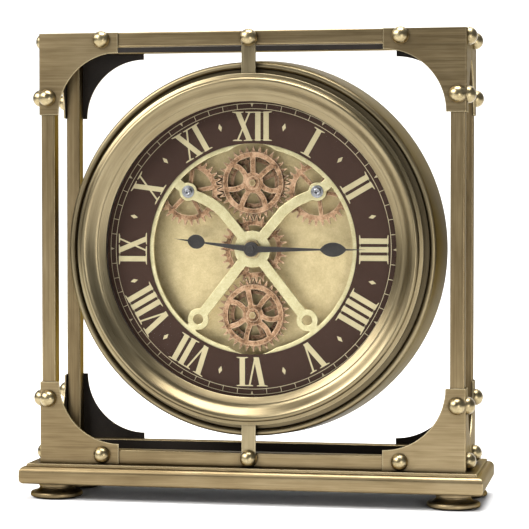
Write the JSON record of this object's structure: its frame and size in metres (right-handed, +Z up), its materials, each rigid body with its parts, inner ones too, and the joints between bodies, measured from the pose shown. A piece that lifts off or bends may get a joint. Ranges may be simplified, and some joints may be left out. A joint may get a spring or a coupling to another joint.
{
  "type": "table clock",
  "caption": "Table clock: a round case with a skeleton gear train hangs between straps in an open square tube frame, held by folded corner brackets on a moulded plinth with turned feet.",
  "frame": {"origin": "on the table, under the middle of the plinth", "axes": "+X to the clock's right as seen from the front, +Y to the back, +Z up; the dial faces -Y"},
  "size_m": [0.328, 0.098, 0.3306],
  "materials": {
    "antique_brass": "antique brass plating on steel, brushed",
    "dark_metal": "dark brown lacquer",
    "rubber_pad": "matt",
    "steel": "bright",
    "clear_glass": "clear",
    "dial_lacquer": "dark brown lacquer with cream numerals",
    "champagne_plate": "pale champagne plating, satin",
    "copper_wheel": "worn copper plating",
    "dark_hand": "satin black",
    "black_plastic": "matt",
    "cell_jacket": "plain gloss jacket"
  },
  "bodies": {
    "clock": {"aa_cells": "cell_jacket", "arm_screws": "steel", "back_plate": "champagne_plate", "base_bottom_plate": "dark_metal", "base_plinth": "antique_brass", "battery_box": "black_plastic", "bezel": "antique_brass", "bottom_strap": "antique_brass", "case_drum": "antique_brass", "cover_screws": "steel", "dial_pillars": "steel", "dial_ring": "dial_lacquer", "dome_bolts": "antique_brass", "feet": "antique_brass", "foot_pads": "rubber_pad", "front_bottom_bar": "antique_brass", "front_bottom_left_bracket": "antique_brass", "front_bottom_right_bracket": "antique_brass", "front_left_post": "antique_brass", "front_right_post": "antique_brass", "front_top_bar": "antique_brass", "front_top_left_bracket": "antique_brass", "front_top_right_bracket": "antique_brass", "gear_motor": "black_plastic", "gear_studs": "steel", "glass": "clear_glass", "hand_nut": "copper_wheel", "left_bottom_rail": "antique_brass", "left_top_rail": "antique_brass", "movement_case": "black_plastic", "rear_bottom_bar": "antique_brass", "rear_bottom_left_bracket": "antique_brass", "rear_bottom_right_bracket": "antique_brass", "rear_cover": "dark_metal", "rear_left_post": "antique_brass", "rear_right_post": "antique_brass", "rear_top_bar": "antique_brass", "rear_top_left_bracket": "antique_brass", "rear_top_right_bracket": "antique_brass", "right_bottom_rail": "antique_brass", "right_top_rail": "antique_brass", "skeleton_plate": "champagne_plate", "spacer_ring": "dark_metal", "stud_nuts": "steel", "top_strap": "antique_brass"},
    "upper_gear": {"upper_gear": "copper_wheel"},
    "lower_gear": {"lower_gear": "copper_wheel"},
    "left_gear": {"left_gear": "copper_wheel"},
    "right_gear": {"right_gear": "copper_wheel"},
    "centre_wheel": {"centre_wheel": "copper_wheel"},
    "motor_pinion": {"motor_pinion": "copper_wheel"},
    "minute_hand": {"minute_hand": "dark_hand"},
    "hour_hand": {"hour_hand": "dark_hand"},
    "setting_knob": {"setting_knob": "black_plastic"}
  },
  "joints": [
    {"name": "upper_gear_spin", "type": "hinge", "parent": "clock", "child": "upper_gear", "pos_m": [0, 0, 0.224], "axis": [0, 1, 0], "continuous": true},
    {"name": "lower_gear_spin", "type": "hinge", "parent": "clock", "child": "lower_gear", "pos_m": [0, 0, 0.131], "axis": [0, 1, 0], "continuous": true},
    {"name": "left_gear_spin", "type": "hinge", "parent": "clock", "child": "left_gear", "pos_m": [-0.04609, 0, 0.2178], "axis": [0, 1, 0], "continuous": true},
    {"name": "right_gear_spin", "type": "hinge", "parent": "clock", "child": "right_gear", "pos_m": [0.04609, 0, 0.2178], "axis": [0, 1, 0], "continuous": true},
    {"name": "centre_wheel_spin", "type": "hinge", "parent": "clock", "child": "centre_wheel", "pos_m": [0, 0, 0.1775], "axis": [0, 1, 0], "continuous": true},
    {"name": "motor_pinion_spin", "type": "hinge", "parent": "clock", "child": "motor_pinion", "pos_m": [-0.02478, 0, 0.22067], "axis": [0, 1, 0], "continuous": true},
    {"name": "minute_hand_spin", "type": "hinge", "parent": "clock", "child": "minute_hand", "pos_m": [0, 0, 0.1775], "axis": [0, 1, 0], "continuous": true},
    {"name": "hour_hand_spin", "type": "hinge", "parent": "clock", "child": "hour_hand", "pos_m": [0, 0, 0.1775], "axis": [0, 1, 0], "continuous": true},
    {"name": "setting_knob_spin", "type": "hinge", "parent": "clock", "child": "setting_knob", "pos_m": [0.014, 0, 0.1915], "axis": [0, 1, 0], "continuous": true}
  ],
  "couplings": [
    {"joint": "lower_gear_spin", "follows": "upper_gear_spin", "ratio": 1},
    {"joint": "left_gear_spin", "follows": "upper_gear_spin", "ratio": -1.0667},
    {"joint": "right_gear_spin", "follows": "upper_gear_spin", "ratio": -1.0667},
    {"joint": "centre_wheel_spin", "follows": "upper_gear_spin", "ratio": -1.0667},
    {"joint": "motor_pinion_spin", "follows": "upper_gear_spin", "ratio": -2.5714},
    {"joint": "hour_hand_spin", "follows": "minute_hand_spin", "ratio": 0.083333},
    {"joint": "setting_knob_spin", "follows": "minute_hand_spin", "ratio": -1}
  ]
}
